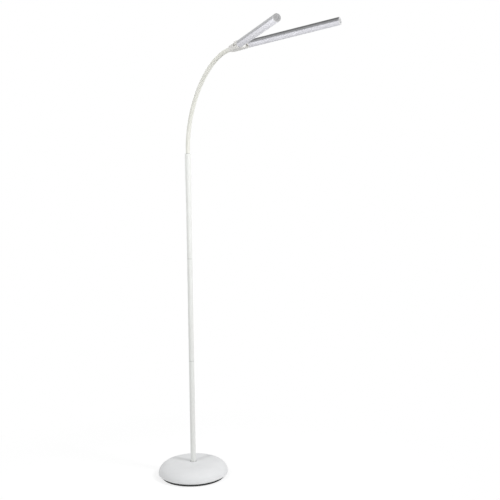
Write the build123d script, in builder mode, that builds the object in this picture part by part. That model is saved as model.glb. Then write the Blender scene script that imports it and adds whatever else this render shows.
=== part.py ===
"""Floor lamp: round weighted base, three-piece pole, bending neck and two fold-out light bars.

Millimetres. The origin is on the floor under the pole, +Z is up, +X points to the head
and +Y is the left side of somebody who looks along +X.
"""

import os
from math import asin, cos, degrees, radians, sin, sqrt, tan

from build123d import *

os.makedirs("parts", exist_ok=True)

# Clearances
fit_gap = 0.1  # between pieces that are fitted into each other
slip_gap = 0.3  # between pieces that move past each other
pin_gap = 0.05  # around a shaft that turns in its hole

# Base
base_diameter = 230.0
base_height = 48.0
base_widest_height = 12.5
base_shoulder = 43.0  # width of the rounded part of the top, seen from the side
base_undercut = 10.5  # how far the rim stands back under the widest circle
base_lip_height = 3.0  # upright part of the rim, above the foot
shell_wall = 2.5
foot_thickness = 6.0
foot_inset = 1.0
plate_thickness = 2.0
weight_inset = 30.0  # from the widest circle to the outside of the ballast
weight_rim_height = 20.0
weight_boss_diameter = 100.0
weight_bore = 50.0
weight_chamfer = 2.0
flange_diameter = 90.0
flange_thickness = 4.0
base_screw_count = 3
base_screw_diameter = 5.0
base_screw_length = 14.0
base_screw_head = 9.0
screw_cone_angle = 90.0

# Power inlet at the back of the base
inlet_height = 17.5
inlet_depth = 9.0  # from the widest circle to the floor of the pocket
inlet_pocket_diameter = 16.0
inlet_wall = 2.5
jack_flange_diameter = 11.0
jack_flange_thickness = 1.2
jack_barrel_diameter = 7.8
jack_length = 10.0
jack_bore = 5.7
jack_bore_depth = 9.0
jack_pin_diameter = 2.1
jack_nut_width = 11.0
jack_nut_thickness = 2.5
cable_diameter = 4.0
cable_bend_radius = 18.0
cable_channel_width = 10.0

# Pole
tube_diameter = 17.0
tube_wall = 1.2
tube_length = 337.5
tube_end_chamfer = 0.5
pole_seat_depth = 1.5  # the pole stands in a shallow recess of the base
pole_seat_gap = 2.0
thread_diameter = 12.0
thread_bore = 7.0
thread_length = 22.0
insert_length = 25.0
stud_drop = 8.0  # how far the stud reaches below its flange
stud_nut_width = 18.0
stud_nut_thickness = 6.0
swell_diameter = 19.4  # the upper tube swells towards the neck
swell_start = 148.0  # above the upper tube's lower end
swell_end = 293.0
swell_top = 323.5

# Neck
ferrule_diameter = 19.8
ferrule_height = 19.0
ferrule_spigot = 20.0
ferrule_rounding = 3.0
ferrule_mouth = 1.0
neck_diameter = 13.5
neck_bore = 5.0
neck_stub = 6.0  # between the ferrule and the first link
neck_links = 8
neck_link_length = 49.0
neck_turn = 85.5  # from the upright pole to the head
neck_tip_turn = 19.2  # share of the last link
neck_turn_power = 5  # how sharply the turn gathers at the tip
ball_radius = 8.5  # round ends that the links turn on

# Hub, measured from its rear face, where the neck enters
hub_setback = 7.0  # straight neck in front of the last link
hub_thickness = 19.0
hub_rear_width = 24.0
hub_corner_radius = 6.0
hub_edge_radius = 4.5
hub_split_chamfer = 0.3
hub_bore_depth = 15.0
hub_roll = 7.3  # the head leans sideways on the neck
pivot_reach = 47.4
pivot_spread = 26.0
ear_radius = 11.5
drum_radius = 12.0  # round root of a bar, which stands on an ear
drum_rounding = 1.5
hub_nose_setback = 3.4  # the upper half ends this far behind the pivots
washer_thickness = 0.5
washer_radius = 8.0
pin_diameter = 6.0
pin_head_diameter = 9.0
pin_head_height = 2.0
pin_rise = 11.5  # top of the pin above the split
cavity_start = 16.5
cavity_length = 16.0
cavity_width = 16.0
cavity_depth = 2.0  # below the split
cavity_roof = 7.4  # above the split
hub_screw_reach = 28.5
hub_screw_spread = 22.0
hub_screw_diameter = 3.0
hub_screw_head = 5.6
hub_screw_head_height = 2.5
board_thickness = 1.6
switch_size = 6.0
switch_height = 3.5
button_diameter = 11.0
button_flange = 13.0
button_flange_thickness = 1.0
button_stem = 4.0
button_travel = 0.8
button_rise = 1.0

# Light bars, measured from the pivot along the bar
bar_diameter = 22.5
bar_rise = 1.25  # the bar's middle above the hub's split
bar_rest_angle = 22.5
root_cap_start = 13.0
root_cap_length = 4.0
root_cap_rounding = 1.0
housing_length = 281.0
housing_wall = 1.6
seam_angle = 5.0  # where the diffuser meets the housing, above the bar's middle
web_height = 2.6  # above the bar's middle
web_thickness = 1.5
port_reach = 8.2
port_angle = 50.0
port_diameter = 3.8
port_bore = 2.4
diffuser_wall = 1.8
rail_thickness = 1.0
rail_depth = 8.0  # degrees that a rail reaches below the seam
led_board_width = 16.0
led_board_thickness = 1.2
led_size = (2.8, 3.5, 0.8)
led_pitch = 10.0
end_cap_length = 2.5
end_cap_rounding = 0.8
cap_groove = (7.6, 11.6)
cap_dimple = 2.6
cap_relief = 1.5
peg_length = 8.0
plug_width = 6.0  # between the peg ports
plug_length = 16.0
grub_diameter = 3.0
grub_length = 4.0
grub_recess = 0.3
grub_socket = 1.5
grub_places_along = (5.0, 11.0)  # from the start of the housing


# Frames and small helpers
def save(piece, name):
    """Label a finished piece and write it to its own file."""
    piece.part.label = name
    export_step(piece.part, f"parts/{name}.step")


def shifted(frame, x=0.0, y=0.0, z=0.0):
    """A plane parallel to a frame, moved within it."""
    return Plane(frame.from_local_coords(Vector(x, y, z)), x_dir=frame.x_dir, z_dir=frame.z_dir)


def across(frame, x=0.0, y=0.0, z=0.0):
    """A plane square to a frame's forward axis, its own x to the left and its y up."""
    return Plane(frame.from_local_coords(Vector(x, y, z)), x_dir=frame.y_dir, z_dir=frame.x_dir)


def rolled(frame, angle):
    """A frame turned about its forward axis, which raises its left side."""
    roll = radians(angle)
    return Plane(frame.origin, x_dir=frame.x_dir, z_dir=frame.z_dir * cos(roll) - frame.y_dir * sin(roll))


def swung(frame, angle):
    """A frame turned about its upward axis, to the left."""
    swing = radians(angle)
    return Plane(frame.origin, x_dir=frame.x_dir * cos(swing) + frame.y_dir * sin(swing), z_dir=frame.z_dir)


def upward(frame):
    """A frame's upward axis, for sorting faces."""
    return Axis(frame.origin, frame.z_dir)


def on_circle(radius, angle):
    """The point of a circle at an angle in degrees."""
    return radius * cos(radians(angle)), radius * sin(radians(angle))


def ring_sector(inner, outer, start, end):
    """The outline of a piece of a ring between two angles."""
    with BuildLine() as outline:
        CenterArc((0, 0), outer, start, end - start)
        Line(on_circle(outer, end), on_circle(inner, end))
        CenterArc((0, 0), inner, end, start - end)
        Line(on_circle(inner, start), on_circle(outer, start))
    return outline.edges()


# Heights and radii that follow from the driving dimensions
base_radius = base_diameter / 2
rim_radius = base_radius - base_undercut
lip_top = foot_thickness + base_lip_height
plate_z = foot_thickness
weight_z = plate_z + plate_thickness
flange_top = base_height - shell_wall
flange_z = flange_top - flange_thickness
pole_z = base_height - pole_seat_depth
screw_circle = (weight_bore + flange_diameter) / 4
tube_radius = tube_diameter / 2
tube_inner = tube_radius - tube_wall
thread_radius = thread_diameter / 2
stud_z = flange_z - stud_drop
tube_feet = [pole_z + tube_length * index for index in range(3)]
ferrule_z = tube_feet[2] + swell_top
pole_top = ferrule_z + ferrule_height
neck_radius = neck_diameter / 2
inlet_floor = base_radius - inlet_depth


# Base
with BuildPart() as foot_pad:
    with BuildSketch():
        Circle(rim_radius - foot_inset)
    extrude(amount=foot_thickness)

with BuildPart() as base_plate:
    with BuildSketch(Plane.XY.offset(plate_z)):
        Circle(rim_radius - shell_wall - fit_gap)
    extrude(amount=plate_thickness)
    with Locations(Plane((0, 0, plate_z), x_dir=(1, 0, 0), z_dir=(0, 0, -1))):
        with PolarLocations(screw_circle, base_screw_count):
            CounterSinkHole(base_screw_diameter / 2 + fit_gap, base_screw_head / 2 + fit_gap,
                            counter_sink_angle=screw_cone_angle)

with BuildPart() as base_weight:
    with BuildSketch(Plane.XY.offset(weight_z)):
        Circle(base_radius - weight_inset)
    extrude(amount=weight_rim_height)
    chamfer(base_weight.edges().group_by(Axis.Z)[-1], weight_chamfer)
    with BuildSketch(Plane.XY.offset(weight_z)):
        Circle(weight_boss_diameter / 2)
    extrude(amount=flange_z - weight_z)
    with BuildSketch(Plane.XY.offset(weight_z)):
        Circle(weight_bore / 2)
    extrude(amount=flange_z - weight_z, mode=Mode.SUBTRACT)
    with BuildSketch(Plane.XY.offset(weight_z)):
        with Locations((-base_radius / 2, 0)):
            Rectangle(base_radius, cable_channel_width)
    extrude(amount=inlet_height + cable_channel_width / 2 - weight_z, mode=Mode.SUBTRACT)
    with BuildSketch(Plane.XY.offset(weight_z)):
        with PolarLocations(screw_circle, base_screw_count):
            Circle(base_screw_diameter / 2 + fit_gap)
    extrude(amount=flange_z - weight_z, mode=Mode.SUBTRACT)

with BuildPart() as base_shell:
    top_radius = base_radius - base_shoulder
    crown = base_height - base_widest_height
    with BuildSketch(Plane.XZ):
        with BuildLine():
            Line((0, foot_thickness), (0, base_height))
            Line((0, base_height), (top_radius, base_height))
            EllipticalCenterArc((top_radius, base_widest_height), base_shoulder, crown, 90, arc_size=-90)
            EllipticalCenterArc((rim_radius, base_widest_height), base_undercut,
                                base_widest_height - lip_top, 0, arc_size=-90)
            Line((rim_radius, lip_top), (rim_radius, foot_thickness))
            Line((rim_radius, foot_thickness), (0, foot_thickness))
        make_face()
    revolve(axis=Axis.Z)
    dome = base_shell.part
    with BuildSketch(Plane.XZ):
        with BuildLine():
            inner_rim = rim_radius - shell_wall
            Line((0, foot_thickness), (0, flange_top))
            Line((0, flange_top), (top_radius, flange_top))
            EllipticalCenterArc((top_radius, base_widest_height), base_shoulder - shell_wall,
                                crown - shell_wall, 90, arc_size=-90)
            EllipticalCenterArc((inner_rim, base_widest_height), base_undercut,
                                base_widest_height - lip_top - shell_wall, 0, arc_size=-90)
            Line((inner_rim, lip_top + shell_wall), (inner_rim, foot_thickness))
            Line((inner_rim, foot_thickness), (0, foot_thickness))
        make_face()
    revolve(axis=Axis.Z, mode=Mode.SUBTRACT)
    with BuildSketch(Plane.YZ.offset(-inlet_floor + inlet_wall)):
        with Locations((0, inlet_height)):
            Circle(inlet_pocket_diameter / 2 + inlet_wall)
    extrude(amount=-inlet_depth - inlet_wall)
    add(dome, mode=Mode.INTERSECT)
    with BuildSketch(Plane.YZ.offset(-inlet_floor)):
        with Locations((0, inlet_height)):
            Circle(inlet_pocket_diameter / 2)
    extrude(amount=-inlet_depth - inlet_wall, mode=Mode.SUBTRACT)
    with BuildSketch(Plane.YZ.offset(-inlet_floor + inlet_wall)):
        with Locations((0, inlet_height)):
            Circle(jack_barrel_diameter / 2 + fit_gap)
    extrude(amount=-inlet_wall, mode=Mode.SUBTRACT)
    with BuildSketch(Plane.XY.offset(pole_z)):
        Circle(tube_radius + pole_seat_gap)
    extrude(amount=pole_seat_depth, mode=Mode.SUBTRACT)
    with BuildSketch(Plane.XY.offset(flange_top)):
        Circle(thread_radius + fit_gap)
    extrude(amount=shell_wall, mode=Mode.SUBTRACT)

with BuildPart() as pole_flange:
    with BuildSketch(Plane.XY.offset(flange_z)):
        Circle(flange_diameter / 2)
        Circle(thread_radius + fit_gap, mode=Mode.SUBTRACT)
    extrude(amount=flange_thickness)
    with Locations(Plane.XY.offset(flange_top)):
        with PolarLocations(screw_circle, base_screw_count):
            CounterSinkHole(base_screw_diameter / 2 + fit_gap, base_screw_head / 2 + fit_gap,
                            counter_sink_angle=screw_cone_angle)


def countersunk_screws(face_z, downward):
    """Three countersunk screws on the screw circle, with their heads flush with a face."""
    cone = (base_screw_head - base_screw_diameter) / 2 / tan(radians(screw_cone_angle / 2))
    turn = -1 if downward else 1
    with BuildPart() as screws:
        with BuildSketch(Plane.XZ):
            with BuildLine():
                Polyline(
                    (screw_circle, face_z),
                    (screw_circle + base_screw_head / 2, face_z),
                    (screw_circle + base_screw_diameter / 2, face_z + turn * cone),
                    (screw_circle + base_screw_diameter / 2, face_z + turn * base_screw_length),
                    (screw_circle, face_z + turn * base_screw_length),
                    close=True,
                )
            make_face()
        revolve(axis=Axis((screw_circle, 0, 0), (0, 0, 1)))
        first = screws.part
        with PolarLocations(0, base_screw_count):
            add(first)
    return screws


flange_screws = countersunk_screws(flange_top, downward=True)

with BuildPart() as pole_stud:
    with BuildSketch(Plane.XY.offset(stud_z)):
        Circle(thread_radius)
        Circle(thread_bore / 2, mode=Mode.SUBTRACT)
    extrude(amount=pole_z + thread_length - stud_z)
    chamfer(pole_stud.edges().group_by(Axis.Z)[-1].sort_by(SortBy.LENGTH)[-1], tube_end_chamfer)

with BuildPart() as stud_nut:
    with BuildSketch(Plane.XY.offset(flange_z)):
        RegularPolygon(stud_nut_width / 2, 6, major_radius=False)
        Circle(thread_radius + fit_gap, mode=Mode.SUBTRACT)
    extrude(amount=-stud_nut_thickness)

with BuildPart() as dc_jack:
    inlet = Plane((-inlet_floor, 0, inlet_height), x_dir=(0, 1, 0), z_dir=(-1, 0, 0))
    with BuildSketch(inlet):
        Circle(jack_flange_diameter / 2)
    extrude(amount=jack_flange_thickness)
    with BuildSketch(inlet):
        Circle(jack_barrel_diameter / 2)
    extrude(amount=-jack_length)
    with BuildSketch(inlet.offset(jack_flange_thickness)):
        Circle(jack_bore / 2)
        Circle(jack_pin_diameter / 2, mode=Mode.SUBTRACT)
    extrude(amount=-jack_bore_depth, mode=Mode.SUBTRACT)
    with BuildSketch(inlet):
        Circle(jack_pin_diameter / 2)
    extrude(amount=jack_flange_thickness, mode=Mode.SUBTRACT)

with BuildPart() as jack_nut:
    with BuildSketch(inlet.offset(-inlet_wall)):
        RegularPolygon(jack_nut_width / 2, 6, major_radius=False)
        Circle(jack_barrel_diameter / 2 + fit_gap, mode=Mode.SUBTRACT)
    extrude(amount=-jack_nut_thickness)

with BuildPart() as feed_cable:
    cable_start = -inlet_floor + jack_length
    with BuildLine() as cable_route:
        FilletPolyline(
            (cable_start, 0, inlet_height),
            (0, 0, inlet_height),
            (0, 0, ferrule_z - ferrule_spigot),
            radius=cable_bend_radius,
        )
    with BuildSketch(Plane.YZ.offset(cable_start)):
        with Locations((0, inlet_height)):
            Circle(cable_diameter / 2)
    sweep(path=cable_route.wire())

for piece, name in (
    (foot_pad, "foot_pad"),
    (base_plate, "base_plate"),
    (base_weight, "base_weight"),
    (base_shell, "base_shell"),
    (pole_flange, "pole_flange"),
    (flange_screws, "flange_screws"),
    (countersunk_screws(plate_z, downward=False), "plate_screws"),
    (pole_stud, "pole_stud"),
    (stud_nut, "stud_nut"),
    (dc_jack, "dc_jack"),
    (jack_nut, "jack_nut"),
    (feed_cable, "feed_cable"),
):
    save(piece, name)


# Pole
def plain_tube(foot):
    """A straight tube of the pole, with its ends broken so that the seams show."""
    with BuildPart() as tube:
        with BuildSketch(Plane.XY.offset(foot)):
            Circle(tube_radius)
            Circle(tube_inner, mode=Mode.SUBTRACT)
        extrude(amount=tube_length)
        outer = tube.faces().filter_by(GeomType.CYLINDER).sort_by(SortBy.AREA)[-1]
        chamfer(outer.edges().filter_by(GeomType.CIRCLE), tube_end_chamfer)
    return tube


def coupler(top):
    """A plug in the top of a tube, with a hollow thread for the next tube."""
    with BuildPart() as plug:
        with BuildSketch(Plane.XY.offset(top - insert_length)):
            Circle(tube_inner - fit_gap)
        extrude(amount=insert_length)
        with BuildSketch(Plane.XY.offset(top)):
            Circle(thread_radius)
        extrude(amount=thread_length)
        chamfer(plug.edges().group_by(Axis.Z)[-1], tube_end_chamfer)
        with BuildSketch(Plane.XY.offset(top - insert_length)):
            Circle(thread_bore / 2)
        extrude(amount=insert_length + thread_length, mode=Mode.SUBTRACT)
    return plug


with BuildPart() as tube_inserts:
    for foot in tube_feet:
        with BuildSketch(Plane.XY.offset(foot)):
            Circle(tube_inner - fit_gap)
            Circle(thread_radius + fit_gap, mode=Mode.SUBTRACT)
    extrude(amount=insert_length)

with BuildPart() as upper_tube:
    swell_radius = swell_diameter / 2
    with BuildSketch(Plane.XZ):
        with BuildLine():
            Polyline(
                (tube_inner, tube_feet[2]),
                (tube_radius - tube_end_chamfer, tube_feet[2]),
                (tube_radius, tube_feet[2] + tube_end_chamfer),
                (tube_radius, tube_feet[2] + swell_start),
                (swell_radius, tube_feet[2] + swell_end),
                (swell_radius, ferrule_z),
                (swell_radius - tube_wall, ferrule_z),
                (swell_radius - tube_wall, tube_feet[2] + swell_end),
                (tube_inner, tube_feet[2] + swell_start),
                close=True,
            )
        make_face()
    revolve(axis=Axis.Z)

with BuildPart() as neck_ferrule:
    with BuildSketch(Plane.XY.offset(ferrule_z - ferrule_spigot)):
        Circle(swell_diameter / 2 - tube_wall - fit_gap)
    extrude(amount=ferrule_spigot)
    with BuildSketch(Plane.XY.offset(ferrule_z)):
        Circle(ferrule_diameter / 2)
    extrude(amount=ferrule_height)
    fillet(neck_ferrule.edges().group_by(Axis.Z)[-1], ferrule_rounding)
    with BuildSketch(Plane.XY.offset(ferrule_z - ferrule_spigot)):
        Circle(neck_radius + fit_gap)
    extrude(amount=ferrule_spigot + ferrule_height, mode=Mode.SUBTRACT)
    chamfer(neck_ferrule.edges().group_by(Axis.Z)[-1].sort_by(SortBy.LENGTH)[0], ferrule_mouth)

save(plain_tube(tube_feet[0]), "lower_tube")
save(plain_tube(tube_feet[1]), "middle_tube")
save(upper_tube, "upper_tube")
save(tube_inserts, "tube_inserts")
save(coupler(tube_feet[1]), "lower_coupler")
save(coupler(tube_feet[2]), "upper_coupler")
save(neck_ferrule, "neck_ferrule")


# Neck: links on round ends, each one an arc of the neck's line
turn_weights = [(index / (neck_links - 1)) ** neck_turn_power for index in range(neck_links)]
root_turn = (neck_turn - neck_tip_turn * sum(turn_weights)) / (neck_links - sum(turn_weights))
link_turns = [root_turn + (neck_tip_turn - root_turn) * weight for weight in turn_weights]


def neck_frame(point, elevation):
    """The frame of a point on the neck: x along the neck, y to the left."""
    forward = Vector(cos(radians(elevation)), 0, sin(radians(elevation)))
    return Plane(point, x_dir=forward, z_dir=forward.cross(Vector(0, 1, 0)))


def next_frame(frame, turn):
    """The frame at the far end of a link that turns down by an angle."""
    radius = neck_link_length / radians(turn)
    end = Vector(radius * sin(radians(turn)), 0, -radius * (1 - cos(radians(turn))))
    elevation = degrees(asin(frame.x_dir.Z)) - turn
    return neck_frame(frame.from_local_coords(end), elevation)


def round_end(frame):
    """The half outline of the ball that carries the next link, with the bore for the wires."""
    shoulder = sqrt(ball_radius**2 - neck_radius**2)
    mouth = sqrt(ball_radius**2 - (neck_bore / 2) ** 2)
    with BuildSketch(Plane(frame.origin, x_dir=frame.x_dir, z_dir=-frame.y_dir)) as half:
        with BuildLine():
            Polyline((mouth, neck_bore / 2), (0, neck_bore / 2), (0, neck_radius), (shoulder, neck_radius))
            RadiusArc((shoulder, neck_radius), (mouth, neck_bore / 2), ball_radius)
        make_face()
    return half.sketch


def neck_ring(frame, x=0.0):
    """The neck's section, square to its line."""
    with BuildSketch(across(frame, x)) as ring:
        Circle(neck_radius)
        Circle(neck_bore / 2, mode=Mode.SUBTRACT)
    return ring.sketch


neck_frames = [neck_frame(Vector(0, 0, pole_top + neck_stub), 90)]
for turn in link_turns:
    neck_frames.append(next_frame(neck_frames[-1], turn))

with BuildPart() as neck_anchor:
    anchor_length = ferrule_spigot + ferrule_height + neck_stub
    extrude(neck_ring(neck_frames[0], -anchor_length), amount=anchor_length)
    revolve(round_end(neck_frames[0]), axis=Axis(neck_frames[0].origin, neck_frames[0].x_dir))
save(neck_anchor, "neck_anchor")

for index, turn in enumerate(link_turns):
    start, end = neck_frames[index], neck_frames[index + 1]
    with BuildPart() as neck_link:
        with BuildLine(Plane(start.origin, x_dir=start.x_dir, z_dir=-start.y_dir)) as link_line:
            JernArc((0, 0), (1, 0), neck_link_length / radians(turn), -turn)
        sweep(neck_ring(start), path=link_line.wire())
        if index < neck_links - 1:
            revolve(round_end(end), axis=Axis(end.origin, end.x_dir))
        else:
            extrude(neck_ring(end), amount=hub_setback + hub_bore_depth)
        with Locations(start.origin):
            Sphere(ball_radius + slip_gap, mode=Mode.SUBTRACT)
    save(neck_link, f"neck_link_{index + 1}")


# Hub: two half shells that clamp the neck, the pivots and the dimmer
hub = rolled(shifted(neck_frames[-1], hub_setback), hub_roll)
hub_half = hub_thickness / 2
drum_floor = washer_thickness + slip_gap
drum_sweep = drum_radius + slip_gap
pin_radius = pin_diameter / 2
cavity_middle = cavity_start + cavity_length / 2
board_top = board_thickness - cavity_depth
rear_corner = hub_rear_width / 2 - hub_corner_radius
rear_corners = ((hub_corner_radius, rear_corner), (hub_corner_radius, -rear_corner))
pivots = ((pivot_reach, pivot_spread / 2), (pivot_reach, -pivot_spread / 2))
hub_screw_places = ((hub_screw_reach, hub_screw_spread / 2), (hub_screw_reach, -hub_screw_spread / 2))


def hub_shell(side, cavity_end):
    """One half of the hub: side is +1 above the split and -1 below it, where its cavity ends."""
    with BuildPart() as shell:
        with BuildSketch(hub) as outline:
            with Locations(*rear_corners):
                Circle(hub_corner_radius)
            with Locations(*pivots):
                Circle(ear_radius)
            make_hull(outline.edges())
        extrude(amount=side * hub_half)
        outer_face = shell.faces().sort_by(upward(hub))[-1 if side > 0 else 0]
        fillet(outer_face.edges(), hub_edge_radius)
        split_face = shell.faces().sort_by(upward(hub))[0 if side > 0 else -1]
        chamfer(split_face.edges(), hub_split_chamfer)
        if side > 0:
            with BuildSketch(hub):
                with Locations(*pivots):
                    Circle(drum_sweep)
                with Locations((pivot_reach - hub_nose_setback, 0)):
                    Rectangle(pivot_reach, 2 * pivot_spread, align=(Align.MIN, Align.CENTER))
                with Locations((pivot_reach - drum_sweep, pivot_spread / 2)):
                    Rectangle(pivot_reach, pivot_spread, align=(Align.MIN, Align.MIN))
                with Locations((pivot_reach - drum_sweep, -pivot_spread / 2)):
                    Rectangle(pivot_reach, pivot_spread, align=(Align.MIN, Align.MAX))
            extrude(amount=hub_half, mode=Mode.SUBTRACT)
        with BuildSketch(across(hub)):
            Circle(neck_radius + fit_gap)
        extrude(amount=hub_bore_depth, mode=Mode.SUBTRACT)
        with BuildSketch(across(hub)):
            Circle(neck_bore / 2)
        extrude(amount=cavity_middle, mode=Mode.SUBTRACT)
        with BuildSketch(shifted(hub, cavity_start)):
            Rectangle(cavity_length, cavity_width, align=(Align.MIN, Align.CENTER))
        extrude(amount=side * cavity_end, mode=Mode.SUBTRACT)
        with BuildSketch(hub):
            with Locations(*hub_screw_places):
                Circle(hub_screw_diameter / 2 + fit_gap)
        extrude(amount=side * (hub_half - hub_screw_head_height), mode=Mode.SUBTRACT)
        if side > 0:
            with BuildSketch(shifted(hub, cavity_middle)):
                Circle(button_diameter / 2 + slip_gap)
            extrude(amount=hub_half, mode=Mode.SUBTRACT)
        else:
            with BuildSketch(hub):
                with Locations(*pivots):
                    Circle(pin_radius + fit_gap)
            extrude(amount=-hub_half, mode=Mode.SUBTRACT)
            with BuildSketch(shifted(hub, z=-hub_half)):
                with Locations(*pivots):
                    Circle(pin_head_diameter / 2 + fit_gap)
            extrude(amount=pin_head_height, mode=Mode.SUBTRACT)
            with BuildSketch(shifted(hub, z=-hub_half)):
                with Locations(*hub_screw_places):
                    Circle(hub_screw_head / 2 + fit_gap)
            extrude(amount=hub_screw_head_height, mode=Mode.SUBTRACT)
    return shell


def pivot_pin(place):
    """A riveted pin with a flat head in the underside of the hub and one on top of the bar's root."""
    with BuildPart() as pin:
        with BuildSketch(shifted(hub, *place, -hub_half)):
            Circle(pin_head_diameter / 2)
        extrude(amount=pin_head_height)
        with BuildSketch(shifted(hub, *place, -hub_half)):
            Circle(pin_radius)
        extrude(amount=hub_half + pin_rise)
        with BuildSketch(shifted(hub, *place, pin_rise)):
            Circle(pin_head_diameter / 2)
        extrude(amount=-pin_head_height)
    return pin


with BuildPart() as hub_screws:
    with BuildSketch(shifted(hub, z=-hub_half)):
        with Locations(*hub_screw_places):
            Circle(hub_screw_head / 2)
    extrude(amount=hub_screw_head_height)
    with BuildSketch(shifted(hub, z=-hub_half)):
        with Locations(*hub_screw_places):
            Circle(hub_screw_diameter / 2)
    extrude(amount=2 * hub_half - hub_screw_head_height)

with BuildPart() as pivot_washers:
    with BuildSketch(hub):
        with Locations(*pivots):
            Circle(washer_radius)
        with Locations(*pivots):
            Circle(pin_radius + fit_gap, mode=Mode.SUBTRACT)
    extrude(amount=washer_thickness)

with BuildPart() as control_board:
    with BuildSketch(shifted(hub, cavity_middle, z=-cavity_depth)):
        Rectangle(cavity_length - 2 * fit_gap, cavity_width - 2 * fit_gap)
    extrude(amount=board_thickness)

with BuildPart() as push_switch:
    with BuildSketch(shifted(hub, cavity_middle, z=board_top)):
        Rectangle(switch_size, switch_size)
    extrude(amount=switch_height)

with BuildPart() as dimmer_button:
    stem_foot = board_top + switch_height + button_travel + slip_gap
    flange_roof = cavity_roof - slip_gap
    with BuildSketch(shifted(hub, cavity_middle, z=stem_foot)):
        Circle(button_stem / 2)
    extrude(amount=flange_roof - stem_foot)
    with BuildSketch(shifted(hub, cavity_middle, z=flange_roof)):
        Circle(button_flange / 2)
    extrude(amount=-button_flange_thickness)
    with BuildSketch(shifted(hub, cavity_middle, z=flange_roof)):
        Circle(button_diameter / 2)
    extrude(amount=hub_half + button_rise - flange_roof)
    fillet(dimmer_button.faces().sort_by(upward(hub))[-1].edges(), button_rise * 0.8)

save(hub_shell(1, cavity_roof), "hub_upper")
save(hub_shell(-1, cavity_depth), "hub_lower")
save(pivot_pin(pivots[0]), "pivot_pin_left")
save(pivot_pin(pivots[1]), "pivot_pin_right")
save(hub_screws, "hub_screws")
save(pivot_washers, "pivot_washers")
save(control_board, "control_board")
save(push_switch, "push_switch")
save(dimmer_button, "dimmer_button")


# Light bars
bar_radius = bar_diameter / 2
housing_inner = bar_radius - housing_wall
housing_start = root_cap_start + root_cap_length
housing_end = housing_start + housing_length
seam_gap_angle = degrees(fit_gap / bar_radius)
diffuser_seam = seam_angle - seam_gap_angle
led_count = int(housing_length / led_pitch)
ports = (on_circle(port_reach, port_angle), on_circle(port_reach, 180 - port_angle))
plug_floor = web_height + web_thickness + fit_gap
plug_roof = sqrt((housing_inner - fit_gap) ** 2 - (plug_width / 2) ** 2)
grub_top = bar_radius - grub_recess
grub_places = [(housing_start + along, 0) for along in grub_places_along]


def housing_profile(bar):
    """The metal channel of a bar: a round back, a web for the lights and two ports for pegs."""
    with BuildSketch(across(bar, housing_start)) as profile:
        make_face(ring_sector(housing_inner, bar_radius, seam_angle, 180 - seam_angle))
        with Locations((0, web_height + web_thickness / 2)):
            Rectangle(2 * housing_inner, web_thickness)
        with Locations(*ports):
            Circle(port_diameter / 2)
        with Locations(*ports):
            Circle(port_bore / 2, mode=Mode.SUBTRACT)
    return profile.sketch


def diffuser_profile(bar):
    """The frosted cover: a thin arc with a rail inside each edge that snaps into the channel."""
    rail_outer = housing_inner - fit_gap
    rail_inner = rail_outer - rail_thickness
    rail_bottom = diffuser_seam - rail_depth
    rail_top = degrees(asin((web_height - fit_gap) / rail_outer))
    with BuildSketch(across(bar, housing_start)) as profile:
        make_face(ring_sector(bar_radius - diffuser_wall, bar_radius, -180 - diffuser_seam, diffuser_seam))
        make_face(ring_sector(rail_inner, rail_outer, rail_bottom, rail_top))
        make_face(ring_sector(rail_inner, rail_outer, 180 - rail_top, 180 - rail_bottom))
    return profile.sketch


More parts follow.
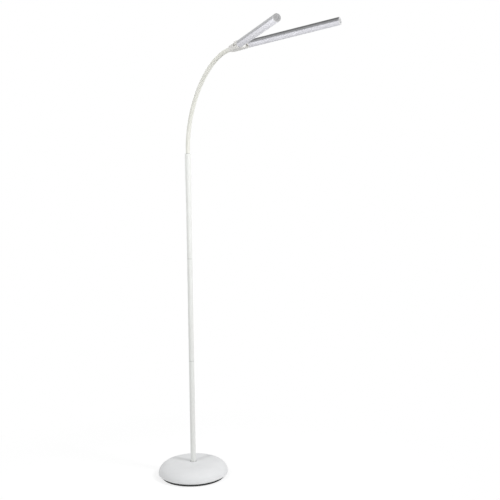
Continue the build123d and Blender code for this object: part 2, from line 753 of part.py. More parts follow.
def build_bar(side, name):
    """Write the pieces of one bar: side is +1 for the left bar and -1 for the right one."""
    root = swung(shifted(hub, pivot_reach, side * pivot_spread / 2), side * bar_rest_angle)
    bar = shifted(root, z=bar_rise)

    with BuildPart() as drum:
        with BuildSketch(shifted(root, z=drum_floor)):
            Circle(drum_radius)
        extrude(amount=bar_rise + bar_radius - drum_floor)
        fillet(drum.faces().sort_by(upward(root))[-1].edges(), drum_rounding)

    with BuildPart() as root_cap:
        with BuildSketch(across(bar, root_cap_start)):
            Circle(bar_radius)
        extrude(amount=root_cap_length)
        fillet(root_cap.edges().sort_by(Axis(bar.origin, bar.x_dir))[0], root_cap_rounding)
        with BuildSketch(across(bar)):
            Circle(bar_radius)
            with Locations((0, drum_floor - bar_rise)):
                Rectangle(bar_diameter, bar_diameter, align=(Align.CENTER, Align.MIN), mode=Mode.INTERSECT)
        extrude(amount=housing_start)
        add(drum.part)
        with BuildSketch(across(bar, housing_start)):
            with Locations((0, plug_floor)):
                Rectangle(plug_width, plug_roof - plug_floor, align=(Align.CENTER, Align.MIN))
        extrude(amount=plug_length)
        with BuildSketch(shifted(root, z=drum_floor)):
            Circle(pin_radius + pin_gap)
        extrude(amount=pin_rise, mode=Mode.SUBTRACT)
        with BuildSketch(shifted(root, z=pin_rise - pin_head_height - slip_gap)):
            Circle(pin_head_diameter / 2 + slip_gap)
        extrude(amount=bar_radius, mode=Mode.SUBTRACT)
        with BuildSketch(shifted(bar, z=grub_top - grub_length - fit_gap)):
            with Locations(*grub_places):
                Circle(grub_diameter / 2 + fit_gap)
        extrude(amount=grub_length, mode=Mode.SUBTRACT)
    save(root_cap, f"root_cap_{name}")

    with BuildPart() as root_screws:
        with BuildSketch(shifted(bar, z=grub_top)):
            with Locations(*grub_places):
                Circle(grub_diameter / 2)
        extrude(amount=-grub_length)
        with BuildSketch(shifted(bar, z=grub_top)):
            with Locations(*grub_places):
                RegularPolygon(grub_socket / 2, 6, major_radius=False)
        extrude(amount=-grub_length / 2, mode=Mode.SUBTRACT)
    save(root_screws, f"root_screws_{name}")

    with BuildPart() as housing:
        extrude(housing_profile(bar), amount=housing_length)
        with BuildSketch(shifted(bar, z=bar_radius)):
            with Locations(*grub_places):
                Circle(grub_diameter / 2 + fit_gap)
        extrude(amount=-2 * housing_wall, mode=Mode.SUBTRACT)
    save(housing, f"housing_{name}")

    with BuildPart() as diffuser:
        extrude(diffuser_profile(bar), amount=housing_length)
    save(diffuser, f"diffuser_{name}")

    with BuildPart() as led_board:
        with BuildSketch(shifted(bar, housing_start, z=web_height)):
            Rectangle(housing_length, led_board_width, align=(Align.MIN, Align.CENTER))
        extrude(amount=-led_board_thickness)
    save(led_board, f"led_board_{name}")

    with BuildPart() as leds:
        middle = (housing_start + housing_end) / 2
        with BuildSketch(shifted(bar, middle, z=web_height - led_board_thickness)):
            with GridLocations(led_pitch, 0, led_count, 1):
                Rectangle(led_size[0], led_size[1])
        extrude(amount=-led_size[2])
    save(leds, f"leds_{name}")

    with BuildPart() as end_cap:
        with BuildSketch(across(bar, housing_end)):
            Circle(bar_radius)
        extrude(amount=end_cap_length)
        fillet(end_cap.edges().sort_by(Axis(bar.origin, bar.x_dir))[-1], end_cap_rounding)
        with BuildSketch(across(bar, housing_end + end_cap_length)):
            Circle(cap_groove[1] / 2)
            Circle(cap_groove[0] / 2, mode=Mode.SUBTRACT)
            Circle(cap_dimple / 2)
        extrude(amount=-cap_relief, mode=Mode.SUBTRACT)
        with BuildSketch(across(bar, housing_end)):
            with Locations(*ports):
                Circle(port_bore / 2 - fit_gap)
        extrude(amount=-peg_length)
    save(end_cap, f"end_cap_{name}")


build_bar(1, "left")
build_bar(-1, "right")
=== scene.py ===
from math import atan2, cos, pi, radians, sin

import bpy
from mathutils import Matrix, Vector


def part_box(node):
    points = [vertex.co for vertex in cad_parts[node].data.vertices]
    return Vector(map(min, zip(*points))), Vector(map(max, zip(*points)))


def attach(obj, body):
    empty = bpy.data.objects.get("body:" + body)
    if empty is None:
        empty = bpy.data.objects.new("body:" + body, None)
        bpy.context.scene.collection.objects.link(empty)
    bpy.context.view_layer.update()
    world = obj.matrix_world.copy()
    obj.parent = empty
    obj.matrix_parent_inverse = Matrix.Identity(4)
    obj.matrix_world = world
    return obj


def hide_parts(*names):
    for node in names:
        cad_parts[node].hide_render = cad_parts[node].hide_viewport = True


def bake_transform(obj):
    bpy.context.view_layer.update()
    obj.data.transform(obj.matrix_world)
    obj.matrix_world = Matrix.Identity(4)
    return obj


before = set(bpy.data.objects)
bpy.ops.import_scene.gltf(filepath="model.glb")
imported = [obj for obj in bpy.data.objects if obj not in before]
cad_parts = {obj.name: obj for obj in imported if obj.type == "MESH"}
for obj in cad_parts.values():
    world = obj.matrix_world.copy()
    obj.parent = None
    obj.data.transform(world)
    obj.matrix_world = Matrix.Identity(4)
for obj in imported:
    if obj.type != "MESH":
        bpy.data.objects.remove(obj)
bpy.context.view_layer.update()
MM = 0.001

# Camera, in the lamp's frame: it stands in front of the lamp, to the right of the head
CAMERA_PLACE = Vector((1.9353, -1.5175, 0.8824))
CAMERA_RIGHT = Vector((0.67879, 0.73421, -0.01328))
CAMERA_UP = Vector((-0.03129, 0.04699, 0.99841))
LENS_MM = 54.0
SENSOR_MM = 36.0
CLIP_END = 100.0

# Neck: the same line as the solid links
POLE_TOP = 1064.0 * MM
NECK_STUB = 6.0 * MM
NECK_RADIUS = 6.75 * MM
LINK_LENGTH = 49.0 * MM
NECK_TURN = 85.5
TIP_TURN = 19.2
TURN_POWER = 5
LINKS = 8
HUB_STUB = 22.0 * MM  # straight end of the neck, most of it inside the hub
SLEEVE_SIDES = 32
SLEEVE_STEP = 2.0 * MM
SLEEVE_ROOT = 16.0 * MM

# Head: how the hub and the bars lie at rest
HUB_ELEVATION = 90.0 - NECK_TURN
HUB_ROLL = 7.3
BAR_ANGLE = 22.5

# Painted shade: the seams, the pole's recess, the neck's mouth and the diffuser's upper edge are painted
# darker than around them
SEAM_HALF_WIDTH = 0.8 * MM
MOUTH_HALF_WIDTH = 1.6 * MM
SEAT_RADIUS = 10.7 * MM
SEAT_FADE = 0.8 * MM
EDGE_SHADE_REACH = 5.0 * MM  # how far down from the housing's edge the painted shade on the diffuser reaches

# Hub screws and foot pad
SCREW_HEAD_RADIUS = 2.8 * MM
SCREW_HEAD_HEIGHT = 2.5 * MM
SCREW_HEAD_BEVEL = 0.3 * MM
SCREW_SHANK_RADIUS = 1.5 * MM
CROSS_REACH = 1.6 * MM
CROSS_HALF_WIDTH = 0.4 * MM
CROSS_DEPTH = 1.2 * MM
CROSS_CORNER = atan2(CROSS_HALF_WIDTH, CROSS_REACH)
PAD_MIDDLE = 12.0 * MM
PAD_GROOVES = 40.0 * MM, 62.0 * MM, 84.0 * MM
PAD_GROOVE_HALF = 2.0 * MM
PAD_GROOVE_DEPTH = 1.0 * MM
PAD_BEVEL = 0.5 * MM
PAD_SIDES = 96
SHARP_ANGLE = 40.0  # edges of the new pieces that turn more than this stay sharp

# Effects that the finishes share
PATCH_SPAN = 0.3, 0.7  # noise from one tone of a finish to the other
MARK_SPAN = 0.25, 0.75  # noise from the smooth places to the rough ones
BAND_FADE = 0.2, 1.0  # share of a band's half width, from its full shade to none
DRAWN_OUT = 0.985  # share of the way along a drawn metal that its noise leaves out, which makes it lines

# Sockets of a Mix node for colours, found by number because several have the same name
MIX_FIRST, MIX_SECOND, MIX_RESULT = 6, 7, 2


# Shader groups
def shader_group(name, inputs, outputs):
    """An empty node group with named sockets; returns it with its input and output nodes."""
    group = bpy.data.node_groups.new(name, "ShaderNodeTree")
    for label, kind, value in inputs:
        socket = group.interface.new_socket(label, in_out="INPUT", socket_type=kind)
        socket.default_value = value
    for label, kind in outputs:
        group.interface.new_socket(label, in_out="OUTPUT", socket_type=kind)
    return group, group.nodes.new("NodeGroupInput"), group.nodes.new("NodeGroupOutput")


def wire(tree, source, target):
    """Joins an output socket to an input socket."""
    tree.links.new(source, target)


def feed(tree, value, target):
    """Joins an output socket to an input socket, or sets the input to a plain value."""
    if isinstance(value, bpy.types.NodeSocket):
        wire(tree, value, target)
    else:
        target.default_value = value


def maths(tree, operation, *values):
    """A Math node; each value is a number or a socket. Returns its output."""
    node = tree.nodes.new("ShaderNodeMath")
    node.operation = operation
    for socket, value in zip(node.inputs, values):
        feed(tree, value, socket)
    return node.outputs[0]


def vectors(tree, operation, *values):
    """A Vector Math node; each value is a vector or a socket. Returns the node."""
    node = tree.nodes.new("ShaderNodeVectorMath")
    node.operation = operation
    for socket, value in zip(node.inputs, values):
        feed(tree, value, socket)
    return node


def noise(tree, vector, scale, detail, roughness):
    """A Noise node on a vector, with its scale from a socket; returns its value."""
    node = tree.nodes.new("ShaderNodeTexNoise")
    node.inputs["Detail"].default_value = detail
    node.inputs["Roughness"].default_value = roughness
    wire(tree, vector, node.inputs["Vector"])
    wire(tree, scale, node.inputs["Scale"])
    return node.outputs["Fac"]


def object_point(tree):
    """The point on the surface, in metres, in the piece's own frame."""
    return tree.nodes.new("ShaderNodeTexCoord").outputs["Object"]


def mixed(tree, factor, first, second):
    """A colour between two others; each is a colour or a socket."""
    node = tree.nodes.new("ShaderNodeMix")
    node.data_type = "RGBA"
    wire(tree, factor, node.inputs["Factor"])
    feed(tree, first, node.inputs[MIX_FIRST])
    feed(tree, second, node.inputs[MIX_SECOND])
    return node.outputs[MIX_RESULT]


def spread(tree, value, low, high):
    """A value stretched so that low becomes 0 and high becomes 1."""
    node = tree.nodes.new("ShaderNodeMapRange")
    node.interpolation_type = "SMOOTHSTEP"
    node.inputs["From Min"].default_value = low
    node.inputs["From Max"].default_value = high
    wire(tree, value, node.inputs["Value"])
    return node.outputs["Result"]


def make_tone_drift():
    """A finish whose tone drifts slightly over patches, as paint and mouldings do."""
    tree, given, made = shader_group(
        "Tone drift",
        [("Tone", "NodeSocketColor", (0.8, 0.8, 0.8, 1)),
         ("Drift", "NodeSocketColor", (0.7, 0.7, 0.7, 1)),
         ("Patches per metre", "NodeSocketFloat", 20.0)],
        [("Color", "NodeSocketColor")])
    scale = given.outputs["Patches per metre"]
    patches = noise(tree, object_point(tree), scale, detail=4.0, roughness=0.6)
    share = spread(tree, patches, *PATCH_SPAN)
    colour = mixed(tree, share, given.outputs["Tone"], given.outputs["Drift"])
    wire(tree, colour, made.inputs["Color"])
    return tree


def make_surface_grain():
    """The fine pebble of a spray coat or a moulding."""
    tree, given, made = shader_group(
        "Surface grain",
        [("Grains per metre", "NodeSocketFloat", 2500.0)],
        [("Height", "NodeSocketFloat")])
    scale = given.outputs["Grains per metre"]
    grains = noise(tree, object_point(tree), scale, detail=2.0, roughness=0.5)
    wire(tree, grains, made.inputs["Height"])
    return tree


def make_handling():
    """Roughness that varies where hands and cloths have been."""
    tree, given, made = shader_group(
        "Handling",
        [("Smooth", "NodeSocketFloat", 0.3),
         ("Rough", "NodeSocketFloat", 0.5),
         ("Marks per metre", "NodeSocketFloat", 35.0)],
        [("Roughness", "NodeSocketFloat")])
    scale = given.outputs["Marks per metre"]
    marks = noise(tree, object_point(tree), scale, detail=5.0, roughness=0.65)
    share = spread(tree, marks, *MARK_SPAN)
    change = maths(tree, "SUBTRACT", given.outputs["Rough"], given.outputs["Smooth"])
    roughness = maths(tree, "MULTIPLY_ADD", share, change, given.outputs["Smooth"])
    wire(tree, roughness, made.inputs["Roughness"])
    return tree


def make_draw_lines():
    """Fine lines along a direction, as an extruded profile has."""
    tree, given, made = shader_group(
        "Draw lines",
        [("Direction", "NodeSocketVector", (1, 0, 0)),
         ("Lines per metre", "NodeSocketFloat", 3000.0)],
        [("Lines", "NodeSocketFloat")])
    point = object_point(tree)
    along = vectors(tree, "DOT_PRODUCT", point, given.outputs["Direction"]).outputs["Value"]
    run = vectors(tree, "SCALE", given.outputs["Direction"])
    wire(tree, maths(tree, "MULTIPLY", along, DRAWN_OUT), run.inputs["Scale"])
    drawn = vectors(tree, "SUBTRACT", point, run.outputs["Vector"]).outputs["Vector"]
    lines = noise(tree, drawn, given.outputs["Lines per metre"], detail=3.0, roughness=0.6)
    wire(tree, lines, made.inputs["Lines"])
    return tree


def make_band_shade():
    """A mask for painted shade around one height along a direction, such as a seam: 1 at the height, 0 at the
    half width.
    """
    tree, given, made = shader_group(
        "Band shade",
        [("Direction", "NodeSocketVector", (0, 0, 1)),
         ("Height", "NodeSocketFloat", 0.0),
         ("Half width", "NodeSocketFloat", 0.001)],
        [("Mask", "NodeSocketFloat")])
    along = vectors(tree, "DOT_PRODUCT", object_point(tree), given.outputs["Direction"]).outputs["Value"]
    away = maths(tree, "ABSOLUTE", maths(tree, "SUBTRACT", along, given.outputs["Height"]))
    share = maths(tree, "DIVIDE", away, given.outputs["Half width"])
    mask = maths(tree, "SUBTRACT", 1.0, spread(tree, share, *BAND_FADE))
    wire(tree, mask, made.inputs["Mask"])
    return tree


def make_recess_shade():
    """A mask inside a radius around the lamp's upright axis, for the painted shade in the recess that the
    pole stands in.
    """
    tree, given, made = shader_group(
        "Recess shade",
        [("Radius", "NodeSocketFloat", 0.01),
         ("Fade", "NodeSocketFloat", 0.001)],
        [("Mask", "NodeSocketFloat")])
    level = vectors(tree, "MULTIPLY", object_point(tree), (1, 1, 0)).outputs["Vector"]
    radius = vectors(tree, "LENGTH", level).outputs["Value"]
    inside = maths(tree, "SUBTRACT", given.outputs["Radius"], radius)
    share = maths(tree, "DIVIDE", inside, given.outputs["Fade"])
    wire(tree, spread(tree, share, 0.0, 1.0), made.inputs["Mask"])
    return tree


TONE_DRIFT = make_tone_drift()
SURFACE_GRAIN = make_surface_grain()
HANDLING = make_handling()
DRAW_LINES = make_draw_lines()
BAND_SHADE = make_band_shade()
RECESS_SHADE = make_recess_shade()


# Materials
def srgb(red, green, blue):
    """A colour as seen on screen, 0 to 255, turned into a linear one."""
    def linear(value):
        value /= 255
        return value / 12.92 if value <= 0.04045 else ((value + 0.055) / 1.055) ** 2.4
    return linear(red), linear(green), linear(blue), 1.0


def placed(tree, group, **values):
    """A group in a material, with its sockets set by name."""
    node = tree.nodes.new("ShaderNodeGroup")
    node.node_tree = group
    for name, value in values.items():
        node.inputs[name.replace("_", " ")].default_value = value
    return node


def bump(tree, height, strength, depth):
    """A Bump node; returns its normal."""
    node = tree.nodes.new("ShaderNodeBump")
    node.inputs["Strength"].default_value = strength
    node.inputs["Distance"].default_value = depth
    wire(tree, height, node.inputs["Height"])
    return node.outputs["Normal"]


def finish(name, tone, drift, patches=20.0, smooth=0.35, rough=0.5, grains=2500.0, grain_depth=0.00001,
           grain_strength=0.1, metallic=0.0, lines=None, shades=()):
    """A material from the shared groups. lines is the direction of a drawn metal.

    Each of the shades is painted shade: a mask's group, the dark tone that it brings and the group's values."""
    material = bpy.data.materials.new(name)
    material.use_nodes = True
    tree = material.node_tree
    shader = tree.nodes["Principled BSDF"]
    shader.inputs["Metallic"].default_value = metallic
    colour = placed(tree, TONE_DRIFT, Tone=tone, Drift=drift, Patches_per_metre=patches).outputs["Color"]
    for group, shade, values in shades:
        colour = mixed(tree, placed(tree, group, **values).outputs["Mask"], colour, shade)
    wire(tree, colour, shader.inputs["Base Color"])
    handling = placed(tree, HANDLING, Smooth=smooth, Rough=rough)
    wire(tree, handling.outputs["Roughness"], shader.inputs["Roughness"])
    if lines is None:
        height = placed(tree, SURFACE_GRAIN, Grains_per_metre=grains).outputs["Height"]
    else:
        height = placed(tree, DRAW_LINES, Direction=lines, Lines_per_metre=grains).outputs["Lines"]
    wire(tree, bump(tree, height, grain_strength, grain_depth), shader.inputs["Normal"])
    return material


def head_axes():
    """Directions of the head at rest: ahead, to the left and up."""
    rise, roll = radians(HUB_ELEVATION), radians(HUB_ROLL)
    ahead = Vector((cos(rise), 0, sin(rise)))
    left = Vector((-sin(rise) * sin(roll), cos(roll), cos(rise) * sin(roll)))
    return ahead, left, ahead.cross(left)


def bar_direction(side):
    """Direction of a bar at rest: side is 1 for the left one and -1 for the right one."""
    swing = radians(BAR_ANGLE)
    return HEAD_AHEAD * cos(swing) + HEAD_LEFT * sin(swing) * side


def reach_along(node, direction):
    """How far a node reaches along a direction."""
    return max(direction.dot(vertex.co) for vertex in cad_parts[node].data.vertices)


def band(tone, height, half_width, direction=(0, 0, 1)):
    """A painted shade around a height along a direction."""
    return BAND_SHADE, tone, {"Direction": direction, "Height": height, "Half_width": half_width}


HEAD_AHEAD, HEAD_LEFT, HEAD_UP = head_axes()
# Painted shade in the pole's seams
SEAM_PAINTED_SHADE = srgb(180, 181, 178)
# Painted shade in the recess that the pole stands in
SEAT_PAINTED_SHADE = srgb(96, 94, 90)
# Painted shadow on the neck at the pole's mouth
MOUTH_PAINTED_SHADOW = srgb(140, 140, 136)
# Painted shade on the diffusers' upper edge, below the housing
DIFFUSER_EDGE_PAINTED_SHADE = srgb(148, 149, 154)
# Painted shade in the pole's seams, as bands round their heights
POLE_SEAM_PAINTED_SHADES = [band(SEAM_PAINTED_SHADE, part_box(tube)[0].z, SEAM_HALF_WIDTH) for tube in ("middle_tube", "upper_tube")]
# Painted shade in the pole's recess, inside a radius
POLE_SEAT_PAINTED_SHADE = RECESS_SHADE, SEAT_PAINTED_SHADE, {"Radius": SEAT_RADIUS, "Fade": SEAT_FADE}
# Painted shadow on the neck, as a band at the pole's top
NECK_MOUTH_PAINTED_SHADOW = band(MOUTH_PAINTED_SHADOW, POLE_TOP, MOUTH_HALF_WIDTH)
# Painted shade on the diffusers, as a band below the housing's edge
BAR_EDGE_PAINTED_SHADE = band(DIFFUSER_EDGE_PAINTED_SHADE, reach_along("diffuser_left", HEAD_UP), EDGE_SHADE_REACH, HEAD_UP)

POLE_PAINT = finish("Pole paint", srgb(236, 238, 235), srgb(233, 234, 231), smooth=0.34, rough=0.46,
                    shades=POLE_SEAM_PAINTED_SHADES)
BASE_MOULDING = finish("Base moulding", srgb(239, 240, 241), srgb(236, 237, 238), smooth=0.42, rough=0.55,
                       grains=1800.0, shades=[POLE_SEAT_PAINTED_SHADE])
NECK_TONES = srgb(230, 230, 223), srgb(226, 226, 218)
NECK_SLEEVE = finish("Neck sleeve", *NECK_TONES, smooth=0.5, rough=0.62, grains=3000.0)
NECK_ROOT = finish("Neck root", *NECK_TONES, smooth=0.5, rough=0.62, grains=3000.0, shades=[NECK_MOUTH_PAINTED_SHADOW])
HUB_MOULDING = finish("Hub moulding", srgb(222, 221, 218), srgb(217, 216, 212), smooth=0.42, rough=0.55)
CAP_METAL = finish("Cap metal", srgb(240, 240, 241), srgb(234, 234, 235), smooth=0.36, rough=0.46,
                   metallic=1.0)
DIFFUSER = finish("Frosted diffuser", srgb(226, 226, 231), srgb(222, 222, 228), patches=8.0, smooth=0.45,
                  rough=0.58, grains=4000.0, shades=[BAR_EDGE_PAINTED_SHADE])
METAL_TONES = srgb(190, 191, 193), srgb(184, 185, 187)
LEFT_METAL = finish("Left bar metal", *METAL_TONES, smooth=0.36, rough=0.44, metallic=1.0, grains=2600.0,
                    lines=bar_direction(1))
RIGHT_METAL = finish("Right bar metal", *METAL_TONES, smooth=0.36, rough=0.44, metallic=1.0, grains=2600.0,
                     lines=bar_direction(-1))
FOOT_RUBBER = finish("Foot rubber", srgb(38, 38, 37), srgb(48, 48, 46), smooth=0.7, rough=0.9, grains=1200.0,
                     grain_depth=0.00006, grain_strength=0.6)
STEEL = finish("Plated steel", srgb(190, 191, 193), srgb(176, 177, 180), smooth=0.25, rough=0.4, metallic=1.0,
               grain_strength=0.2, lines=Vector((0, 0, 1)))
BRASS = finish("Turned brass", srgb(214, 180, 110), srgb(198, 162, 92), smooth=0.25, rough=0.4, metallic=1.0)
IRON = finish("Cast iron", srgb(72, 72, 74), srgb(58, 58, 60), patches=60.0, smooth=0.6, rough=0.85,
              grains=700.0, grain_depth=0.0002, grain_strength=0.7, metallic=0.6)
BLACK_PLASTIC = finish("Black plastic", srgb(36, 36, 37), srgb(44, 44, 45), smooth=0.4, rough=0.6)
NYLON = finish("Washer nylon", srgb(226, 225, 220), srgb(218, 217, 211), smooth=0.4, rough=0.55)
BOARD_LACQUER = finish("Board lacquer", srgb(28, 92, 54), srgb(22, 80, 46), smooth=0.3, rough=0.45)
STRIP_LACQUER = finish("Strip lacquer", srgb(236, 236, 232), srgb(230, 230, 226), smooth=0.35, rough=0.5)
PHOSPHOR = finish("Light phosphor", srgb(240, 214, 120), srgb(232, 202, 104), smooth=0.25, rough=0.4)

NODE_FINISHES = {
    POLE_PAINT: ("lower_tube", "middle_tube", "upper_tube", "neck_ferrule"),
    BASE_MOULDING: ("base_shell",),
    NECK_SLEEVE: ("neck_anchor",) + tuple(f"neck_link_{link + 1}" for link in range(LINKS)),
    HUB_MOULDING: ("hub_upper", "hub_lower", "root_cap_left", "root_cap_right", "dimmer_button"),
    CAP_METAL: ("end_cap_left", "end_cap_right"),
    DIFFUSER: ("diffuser_left", "diffuser_right"),
    LEFT_METAL: ("housing_left",),
    RIGHT_METAL: ("housing_right",),
    FOOT_RUBBER: ("foot_pad",),
    STEEL: ("base_plate", "plate_screws", "pole_flange", "flange_screws", "pole_stud", "stud_nut", "jack_nut",
            "hub_screws", "pivot_pin_left", "pivot_pin_right", "root_screws_left", "root_screws_right"),
    BRASS: ("tube_inserts", "lower_coupler", "upper_coupler"),
    IRON: ("base_weight",),
    BLACK_PLASTIC: ("dc_jack", "feed_cable", "push_switch"),
    NYLON: ("pivot_washers",),
    BOARD_LACQUER: ("control_board",),
    STRIP_LACQUER: ("led_board_left", "led_board_right"),
    PHOSPHOR: ("leds_left", "leds_right"),
}
for material, names in NODE_FINISHES.items():
    for name in names:
        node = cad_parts[name]
        node.data.materials.clear()
        node.data.materials.append(material)


# Neck sleeve
def neck_starts():
    """Where each link of the neck starts: its point, its elevation and its turn, in degrees."""
    weights = [(link / (LINKS - 1)) ** TURN_POWER for link in range(LINKS)]
    root_turn = (NECK_TURN - TIP_TURN * sum(weights)) / (LINKS - sum(weights))
    point, elevation = Vector((0, 0, POLE_TOP + NECK_STUB)), 90.0
    starts = []
    for weight in weights:
        turn = root_turn + (TIP_TURN - root_turn) * weight
        starts.append((point, elevation, turn))
        point, elevation = along_link(point, elevation, turn, 1.0)
    return starts


def along_link(point, elevation, turn, share):
    """The point and the elevation at a share of a link's length."""
    radius, swept = LINK_LENGTH / radians(turn), radians(turn * share)
    ahead, up = neck_axes(elevation)
    return point + ahead * radius * sin(swept) - up * radius * (1 - cos(swept)), elevation - turn * share


def neck_axes(elevation):
    """Directions along the neck and upward from it."""
    rise = radians(elevation)
    return Vector((cos(rise), 0, sin(rise))), Vector((-sin(rise), 0, cos(rise)))


NECK_STARTS = neck_starts()


def sleeve_line(joint):
    """Places along the sleeve around a joint, from the middle of one link to the middle of the next.

    The first sleeve starts inside the pole's top, and the last one ends inside the hub."""
    point, elevation, turn = NECK_STARTS[joint]
    steps = round(LINK_LENGTH / 2 / SLEEVE_STEP)
    if joint == 0:
        count = round(SLEEVE_ROOT / SLEEVE_STEP)
        drops = [SLEEVE_ROOT * (count - step) / count for step in range(count)]
        before = [(point - Vector((0, 0, drop)), elevation) for drop in drops]
    else:
        last = NECK_STARTS[joint - 1]
        before = [along_link(*last, 0.5 + 0.5 * step / steps) for step in range(steps)]
    if joint < LINKS - 1:
        return before + [along_link(point, elevation, turn, 0.5 * step / steps) for step in range(steps + 1)]
    after = [along_link(point, elevation, turn, step / (2 * steps)) for step in range(2 * steps + 1)]
    tip, level = after[-1]
    return before + after + [(tip + neck_axes(level)[0] * HUB_STUB, level)]


def ringed_mesh(name, stacks):
    """A mesh of closed skins, each around one stack of rings with as many points in every ring."""
    vertices, faces = [], []
    for rings in stacks:
        first, sides = len(vertices), len(rings[0])
        vertices += [point for ring in rings for point in ring]
        for row in range(len(rings) - 1):
            here, there = first + row * sides, first + (row + 1) * sides
            for side in range(sides):
                following = (side + 1) % sides
                faces.append((here + following, here + side, there + side, there + following))
        faces.append(tuple(range(first, first + sides)))
        faces.append(tuple(reversed(range(len(vertices) - sides, len(vertices)))))
    mesh = bpy.data.meshes.new(name)
    mesh.from_pydata(vertices, [], faces)
    mesh.polygons.foreach_set("use_smooth", [True] * len(mesh.polygons))
    mesh.set_sharp_from_angle(angle=radians(SHARP_ANGLE))
    mesh.validate()
    return mesh


def even_angles(sides):
    """Angles all round."""
    return [2 * pi * side / sides for side in range(sides)]


def sleeve_rings(places):
    """Rings of the neck's sleeve through places, each a point and an elevation in the neck's plane."""
    rings = []
    for point, elevation in places:
        up = neck_axes(elevation)[1] * NECK_RADIUS
        across = Vector((0, NECK_RADIUS, 0))
        rings.append([point + up * sin(angle) + across * cos(angle) for angle in even_angles(SLEEVE_SIDES)])
    return rings


def new_piece(name, mesh, material):
    """A piece of the lamp with one finish."""
    piece = bpy.data.objects.new(name, mesh)
    bpy.context.collection.objects.link(piece)
    mesh.materials.append(material)
    return piece


# Only the first sleeve has the painted shadow at the pole's mouth: a bent sleeve can come down to that height
for joint in range(LINKS):
    name = f"neck_sleeve_{joint + 1}"
    mesh = ringed_mesh(name, [sleeve_rings(sleeve_line(joint))])
    sleeve = new_piece(name, mesh, NECK_SLEEVE if joint else NECK_ROOT)
    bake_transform(sleeve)
    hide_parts(f"neck_link_{joint + 1}")
    if joint == 0:
        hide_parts("neck_anchor")


# Hub screws and foot pad
def turned_rings(foot, axes, profile, angles):
    """Rings round an upright axis. A profile's radius is a number or a function of the angle."""
    across, side, up = axes
    rings = []
    for radius, height in profile:
        ring = []
        for angle in angles:
            reach = radius(angle) if callable(radius) else radius
            ring.append(foot + (across * cos(angle) + side * sin(angle)) * reach + up * height)
        rings.append(ring)
    return rings


def cross_radius(angle):
    """Radius of a cross recess at an angle."""
    from_arm = abs((angle + pi / 4) % (pi / 2) - pi / 4)
    if from_arm < CROSS_CORNER:
        return CROSS_REACH / cos(from_arm)
    return CROSS_HALF_WIDTH / sin(from_arm)


def cross_angles():
    """Angles all round, with the corners of a cross recess among them."""
    between = (CROSS_CORNER + pi / 4) / 2
    quarter = 0, CROSS_CORNER, between, pi / 4, pi / 2 - between, pi / 2 - CROSS_CORNER
    return [turn * pi / 2 + angle for turn in range(4) for angle in quarter]


def screw_feet():
    """The middle of each hub screw's head, and the screws' length."""
    points = [vertex.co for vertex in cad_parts["hub_screws"].data.vertices]
    middle = sum(point.dot(HEAD_LEFT) for point in points) / len(points)
    feet = []
    for side in (1, -1):
        screw = [point for point in points if (point.dot(HEAD_LEFT) - middle) * side > 0]
        foot = Vector()
        for axis in (HEAD_AHEAD, HEAD_LEFT):
            spans = [point.dot(axis) for point in screw]
            foot += axis * (min(spans) + max(spans)) / 2
        heights = [point.dot(HEAD_UP) for point in screw]
        length = max(heights) - min(heights)
        feet.append(foot + HEAD_UP * min(heights))
    return feet, length


def hub_screws():
    """Two screws with bevelled heads and cross recesses, under the hub."""
    feet, length = screw_feet()
    profile = [(cross_radius, CROSS_DEPTH), (cross_radius, 0), (SCREW_HEAD_RADIUS - SCREW_HEAD_BEVEL, 0),
               (SCREW_HEAD_RADIUS, SCREW_HEAD_BEVEL), (SCREW_HEAD_RADIUS, SCREW_HEAD_HEIGHT),
               (SCREW_SHANK_RADIUS, SCREW_HEAD_HEIGHT), (SCREW_SHANK_RADIUS, length)]
    axes = HEAD_AHEAD, HEAD_LEFT, HEAD_UP
    stacks = [turned_rings(foot, axes, profile, cross_angles()) for foot in feet]
    screws = new_piece("cross_screws", ringed_mesh("cross_screws", stacks), STEEL)
    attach(screws, "head")
    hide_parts("hub_screws")


def foot_pad():
    """The rubber pad with ring grooves in its underside."""
    rim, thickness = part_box("foot_pad")[1].x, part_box("foot_pad")[1].z
    profile = [(PAD_MIDDLE, 0)]
    for groove in PAD_GROOVES:
        profile += [(groove - PAD_GROOVE_HALF, 0), (groove - PAD_GROOVE_HALF / 2, PAD_GROOVE_DEPTH),
                    (groove + PAD_GROOVE_HALF / 2, PAD_GROOVE_DEPTH), (groove + PAD_GROOVE_HALF, 0)]
    profile += [(rim - PAD_BEVEL, 0), (rim, PAD_BEVEL), (rim, thickness)]
    axes = Vector((1, 0, 0)), Vector((0, 1, 0)), Vector((0, 0, 1))
    rings = turned_rings(Vector(), axes, profile, even_angles(PAD_SIDES))
    pad = new_piece("grooved_pad", ringed_mesh("grooved_pad", [rings]), FOOT_RUBBER)
    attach(pad, "stand")
    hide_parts("foot_pad")


hub_screws()
foot_pad()


# Studio
WHITE = 1, 1, 1, 1
FLOOR_HALF = 30.0
FLOOR_DROP = 0.2 * MM  # keeps the floor apart from the pad's underside
FLOOR_TONE = 0.75, 0.75, 0.75, 1
FLOOR_ROUGHNESS = 0.9
FLOOR_SHINE = 0.1
FLOOR_GLOW = 0.42  # what the floor adds to its lit tone where it is seen, up to white
FLOOR_WASH = 0.45  # share of the floor's white that stays in the shadow
FLOOR_FADE = 0.3, 0.9  # between these distances from the pole the floor turns into plain white
CEILING_LEVEL = 0.17  # the dark ceiling that metal reflects, where the walls are 1
CEILING_SPAN = 0.45, 0.95  # sine of the height above the horizon, from the walls to the ceiling
FRONT_LEVEL = 0.42  # the dim room behind the camera, which metal reflects too
FRONT_SPAN = 0.15, 0.8  # cosine of the angle to the camera's side, from the walls to the dim room
AMBIENT_WALLS = 0.53
AMBIENT_CEILING = 0.45
AMBIENT_LEAN = 0.08  # more of the soft light comes from the camera's right than from its left

# Where the lights aim
UPPER_LAMP = Vector((0.1, 0, 1.15))
LOWER_LAMP = Vector((0.05, 0, 0.6))
AHEAD_OF_BARS = Vector((0.68, -0.16, 1.4))
RIGHT_BAR_END = Vector((0.535, -0.118, 1.4))


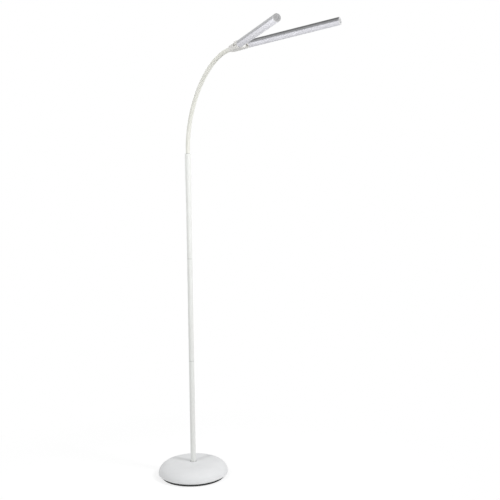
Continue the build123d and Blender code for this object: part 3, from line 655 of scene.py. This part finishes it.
def studio_floor():
    """A plain white floor that keeps the lamp's shadow, fades into the background and is clear from below."""
    mesh = bpy.data.meshes.new("Floor")
    corners = [(-FLOOR_HALF, -FLOOR_HALF), (FLOOR_HALF, -FLOOR_HALF), (FLOOR_HALF, FLOOR_HALF),
               (-FLOOR_HALF, FLOOR_HALF)]
    mesh.from_pydata([(x, y, -FLOOR_DROP) for x, y in corners], [], [(0, 1, 2, 3)])
    floor = bpy.data.objects.new("Floor", mesh)
    bpy.context.collection.objects.link(floor)
    material = bpy.data.materials.new("Floor white")
    material.use_nodes = True
    tree = material.node_tree
    shader = tree.nodes["Principled BSDF"]
    shader.inputs["Base Color"].default_value = FLOOR_TONE
    shader.inputs["Roughness"].default_value = FLOOR_ROUGHNESS
    shader.inputs["Specular IOR Level"].default_value = FLOOR_SHINE
    shader.inputs["Emission Color"].default_value = WHITE
    seen = seen_rays(tree)
    wire(tree, maths(tree, "MULTIPLY", seen, FLOOR_GLOW), shader.inputs["Emission Strength"])
    far = spread(tree, vectors(tree, "LENGTH", object_point(tree)).outputs["Value"], *FLOOR_FADE)
    washed = maths(tree, "MULTIPLY_ADD", far, 1.0 - FLOOR_WASH, FLOOR_WASH)
    white = tree.nodes.new("ShaderNodeEmission").outputs["Emission"]
    lit = mixed_shader(tree, maths(tree, "MULTIPLY", washed, seen), shader.outputs["BSDF"], white)
    below = tree.nodes.new("ShaderNodeNewGeometry").outputs["Backfacing"]
    clear = tree.nodes.new("ShaderNodeBsdfTransparent").outputs["BSDF"]
    one_sided = mixed_shader(tree, below, lit, clear)
    wire(tree, one_sided, tree.nodes["Material Output"].inputs["Surface"])
    mesh.materials.append(material)


def mixed_shader(tree, factor, first, second):
    """A shader between two others."""
    node = tree.nodes.new("ShaderNodeMixShader")
    wire(tree, factor, node.inputs["Fac"])
    wire(tree, first, node.inputs[1])
    wire(tree, second, node.inputs[2])
    return node.outputs["Shader"]


def seen_rays(tree):
    """1 for rays that show the background: from the camera, off metal and through glass."""
    path = tree.nodes.new("ShaderNodeLightPath")
    total = maths(tree, "ADD", path.outputs["Is Camera Ray"], path.outputs["Is Glossy Ray"])
    return maths(tree, "MINIMUM", maths(tree, "ADD", total, path.outputs["Is Transmission Ray"]), 1.0)


def camera_side():
    """The level direction from the lamp to the camera."""
    return Vector((CAMERA_PLACE.x, CAMERA_PLACE.y, 0)).normalized()


def studio_world():
    """Soft light on the lamp, and white walls for the camera and for what metal reflects.

    Only reflections show the dark ceiling and the dim room behind the camera."""
    world = bpy.data.worlds.new("Studio")
    world.use_nodes = True
    tree = world.node_tree
    direction = tree.nodes.new("ShaderNodeTexCoord").outputs["Generated"]
    height = tree.nodes.new("ShaderNodeSeparateXYZ")
    wire(tree, direction, height.inputs["Vector"])
    overhead = spread(tree, height.outputs["Z"], *CEILING_SPAN)

    soft = tree.nodes["Background"]
    soft.inputs["Color"].default_value = WHITE
    level = maths(tree, "MULTIPLY_ADD", overhead, AMBIENT_CEILING - AMBIENT_WALLS, AMBIENT_WALLS)
    sideways = vectors(tree, "DOT_PRODUCT", direction, CAMERA_RIGHT).outputs["Value"]
    leaning = maths(tree, "MULTIPLY_ADD", sideways, AMBIENT_LEAN, level)
    wire(tree, leaning, soft.inputs["Strength"])

    white = tree.nodes.new("ShaderNodeBackground")
    white.inputs["Color"].default_value = WHITE
    ahead = vectors(tree, "DOT_PRODUCT", direction, camera_side()).outputs["Value"]
    in_front = spread(tree, ahead, *FRONT_SPAN)
    darkest = maths(tree, "MAXIMUM", maths(tree, "MULTIPLY", overhead, 1.0 - CEILING_LEVEL),
                    maths(tree, "MULTIPLY", in_front, 1.0 - FRONT_LEVEL))
    camera_ray = tree.nodes.new("ShaderNodeLightPath").outputs["Is Camera Ray"]
    dark = maths(tree, "MULTIPLY", darkest, maths(tree, "SUBTRACT", 1.0, camera_ray))
    wire(tree, maths(tree, "SUBTRACT", 1.0, dark), white.inputs["Strength"])

    studio = mixed_shader(tree, seen_rays(tree), soft.outputs["Background"], white.outputs["Background"])
    wire(tree, studio, tree.nodes["World Output"].inputs["Surface"])
    bpy.context.scene.world = world


def softbox(name, aim, turn, rise, distance, size, level):
    """A round area light that lights a surface facing it at its aim to a level.

    It is turned from the camera's side to the camera's right and raised, both in degrees."""
    towards = Matrix.Rotation(radians(turn), 3, "Z") @ camera_side()
    direction = towards * cos(radians(rise)) + Vector((0, 0, sin(radians(rise))))
    light = bpy.data.lights.new(name, "AREA")
    light.shape = "DISK"
    light.size = size
    light.energy = level * pi * pi * distance * distance
    lamp = bpy.data.objects.new(name, light)
    lamp.location = aim + direction * distance
    lamp.rotation_euler = direction.to_track_quat("Z", "Y").to_euler()
    lamp.visible_glossy = False
    lamp.visible_camera = False
    bpy.context.collection.objects.link(lamp)


def photo_camera():
    """The camera at the photograph's angle."""
    data = bpy.data.cameras.new("Camera")
    data.lens = LENS_MM
    data.sensor_width = SENSOR_MM
    data.clip_end = CLIP_END
    camera = bpy.data.objects.new("Camera", data)
    back = CAMERA_RIGHT.cross(CAMERA_UP)
    turn = Matrix((CAMERA_RIGHT, CAMERA_UP, back)).transposed().to_4x4()
    camera.matrix_world = Matrix.Translation(CAMERA_PLACE) @ turn
    bpy.context.collection.objects.link(camera)
    bpy.context.scene.camera = camera


studio_floor()
studio_world()
softbox("Right light", UPPER_LAMP, turn=58, rise=26, distance=1.9, size=0.5, level=0.6)
softbox("Left light", UPPER_LAMP, turn=-52, rise=26, distance=1.9, size=0.6, level=0.36)
softbox("Front light", LOWER_LAMP, turn=25, rise=-5, distance=1.8, size=1.2, level=0.1)
softbox("Low light", AHEAD_OF_BARS, turn=-10, rise=-50, distance=0.6, size=0.5, level=0.46)
softbox("End light", RIGHT_BAR_END, turn=-62, rise=-38, distance=0.22, size=0.15, level=0.17)
photo_camera()
bpy.context.scene.view_settings.view_transform = "Standard"
